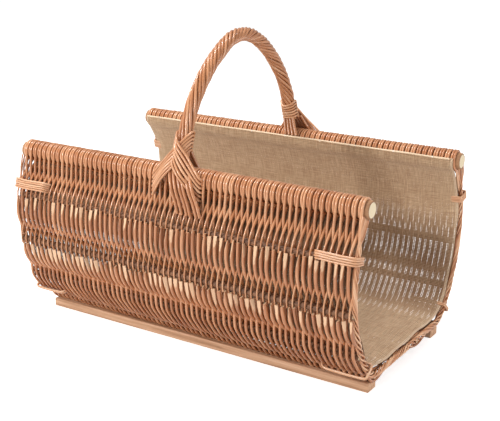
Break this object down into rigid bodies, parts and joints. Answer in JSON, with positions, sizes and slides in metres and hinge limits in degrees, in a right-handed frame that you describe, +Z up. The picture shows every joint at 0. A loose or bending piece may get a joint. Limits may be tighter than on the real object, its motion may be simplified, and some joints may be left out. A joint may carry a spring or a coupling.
{
  "type": "open-ended wicker log basket",
  "caption": "Open-ended U-shaped wicker log basket with thick top rails, a roped arch handle across the middle, a woven cloth liner and two wooden skids.",
  "frame": {"origin": "on the ground, under the middle of the basket", "axes": "+X along the rails and skids, +Y towards the far side, across the arch of the handle, +Z up; the near side is -Y"},
  "size_m": [0.6, 0.3904, 0.4699],
  "materials": {
    "willow": "buff willow rods, smooth bark with a soft gloss, darker orange-brown in places, pale cut ends",
    "thin_willow": "thin buff willow, smooth and softly glossy",
    "rib_willow": "thick willow stakes in brown bark with cream cut ends",
    "rail_wood": "round poles in brown bark with cream sawn ends",
    "skid_wood": "planed pale tan softwood with straight grain and rounded edges",
    "hessian": "plain-woven hessian, coarse and matt, with soft wrinkles",
    "pale_strip": "pale split willow, matt",
    "nail_steel": "dull steel nails"
  },
  "bodies": {
    "root": {"far_band_over": "thin_willow", "far_band_under": "thin_willow", "far_belly_rib": "rib_willow", "far_bilge_rib": "rib_willow", "far_floor_rib": "rib_willow", "far_inner_legs": "willow", "far_left_strap": "thin_willow", "far_left_tie": "thin_willow", "far_liner_strip": "pale_strip", "far_liner_tacks": "nail_steel", "far_lower_rib": "rib_willow", "far_neck_binding": "thin_willow", "far_outer_legs": "willow", "far_rail": "rail_wood", "far_rail_wrapping": "willow", "far_right_strap": "thin_willow", "far_right_tie": "thin_willow", "far_side_weave": "willow", "far_skid": "skid_wood", "far_top_rib": "rib_willow", "floor_weave": "willow", "handle_core": "rib_willow", "handle_roping": "willow", "liner": "hessian", "near_band_over": "thin_willow", "near_band_under": "thin_willow", "near_belly_rib": "rib_willow", "near_bilge_rib": "rib_willow", "near_floor_rib": "rib_willow", "near_inner_legs": "willow", "near_left_strap": "thin_willow", "near_left_tie": "thin_willow", "near_liner_strip": "pale_strip", "near_liner_tacks": "nail_steel", "near_lower_rib": "rib_willow", "near_neck_binding": "thin_willow", "near_outer_legs": "willow", "near_rail": "rail_wood", "near_rail_wrapping": "willow", "near_right_strap": "thin_willow", "near_right_tie": "thin_willow", "near_side_weave": "willow", "near_skid": "skid_wood", "near_top_rib": "rib_willow", "skid_nails": "nail_steel"}
  },
  "joints": []
}
